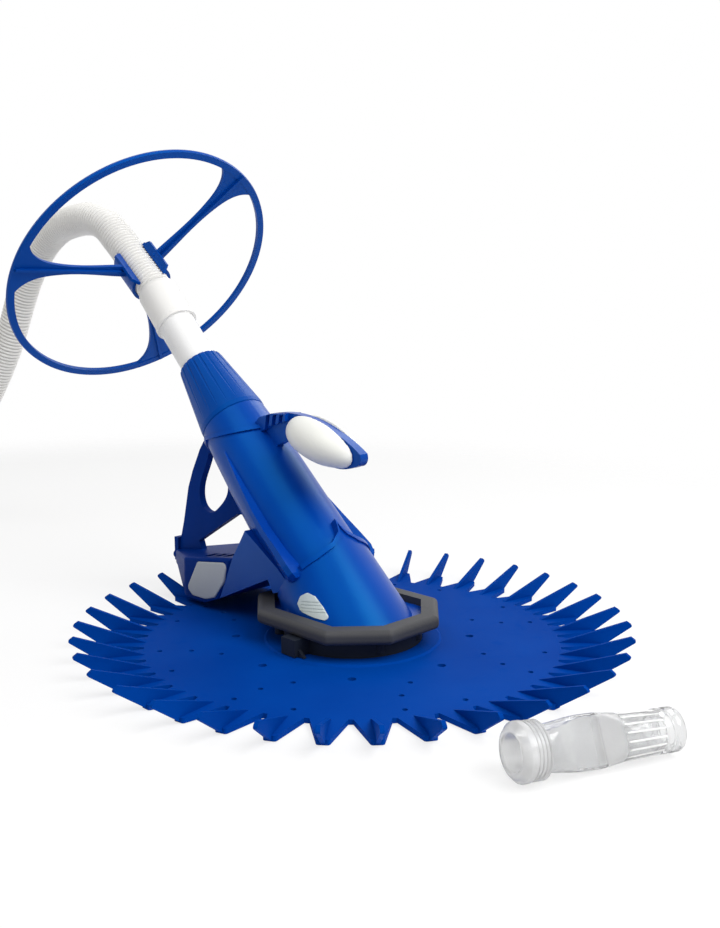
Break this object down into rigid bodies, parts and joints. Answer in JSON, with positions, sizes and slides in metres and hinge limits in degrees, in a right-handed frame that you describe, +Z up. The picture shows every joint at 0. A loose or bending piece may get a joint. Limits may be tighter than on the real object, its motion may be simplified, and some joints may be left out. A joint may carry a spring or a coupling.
{
  "type": "suction pool cleaner",
  "caption": "Suction pool cleaner head: leaning barrel on a finned disc, octagon bumper, soft-padded bumpers, ribbed nut, pipes, deflector wheel, ribbed leader hose and a spare diaphragm.",
  "frame": {"origin": "on the floor, at the centre of the foot that the disc turns round", "axes": "+Z up, +X the way the cleaner travels, towards the front bumper; the barrel leans back towards -X in the XZ plane; +Y its left"},
  "size_m": [1.3595, 0.4776, 0.4351],
  "materials": {
    "disc_blue": "satin flexible moulding",
    "sole_grey": "matt",
    "foot_grey": "fine grained",
    "screw_steel": "plain",
    "bumper_grey": "matt moulding",
    "body_blue": "satin gloss",
    "insert_pale": "satin, ribbed",
    "seat_grey": "plain",
    "silicone_clear": "clear and glossy",
    "pipe_white": "smooth",
    "seal_black": "plain",
    "ring_white": "plain",
    "nut_blue": "satin gloss",
    "pad_white": "smooth satin",
    "frame_blue": "satin gloss",
    "pad_grey": "smooth satin",
    "hose_white": "corrugated, satin",
    "wheel_blue": "satin"
  },
  "bodies": {
    "body": {"foot_pad": "sole_grey", "foot_ring": "foot_grey", "shelf_screws": "screw_steel", "octagon_bumper": "bumper_grey", "base_housing": "body_blue", "side_insert_left": "insert_pale", "side_insert_right": "insert_pale", "barrel": "body_blue", "diaphragm_seat": "seat_grey", "diaphragm": "silicone_clear", "spare_diaphragm": "silicone_clear", "inner_pipe": "pipe_white", "outer_pipe": "pipe_white", "pipe_seal": "seal_black", "front_bumper": "body_blue", "front_pad_left": "pad_white", "front_pad_right": "pad_white", "rear_frame": "frame_blue", "tail_bumper": "body_blue", "tail_pad_left": "pad_grey", "tail_pad_right": "pad_grey", "tail_screw": "frame_blue", "hose_cuff": "hose_white", "leader_hose": "hose_white", "hose_end_cuff": "hose_white"},
    "disc": {"finned_disc": "disc_blue"},
    "wheel": {"deflector_wheel": "wheel_blue"},
    "ring": {"compression_ring": "ring_white"},
    "nut": {"compression_nut": "nut_blue"}
  },
  "joints": [
    {"name": "disc_spin", "type": "hinge", "parent": "body", "child": "disc", "pos_m": [0, 0, 0], "axis": [0, 0, 1], "continuous": true},
    {"name": "wheel_spin", "type": "hinge", "parent": "body", "child": "wheel", "pos_m": [-0.30958, 0, 0.32294], "axis": [-0.7732, 0, 0.6342], "continuous": true},
    {"name": "ring_slide", "type": "slide", "parent": "body", "child": "ring", "axis": [-0.7071, 0, 0.7071], "range_m": [0, 0.003]},
    {"name": "nut_turn", "type": "hinge", "parent": "ring", "child": "nut", "pos_m": [-0.16958, 0, 0.18738], "axis": [-0.7071, 0, 0.7071], "range_deg": [0, 360]}
  ],
  "couplings": [
    {"joint": "nut_turn", "follows": "ring_slide", "rad_per_m": 2094.4}
  ]
}
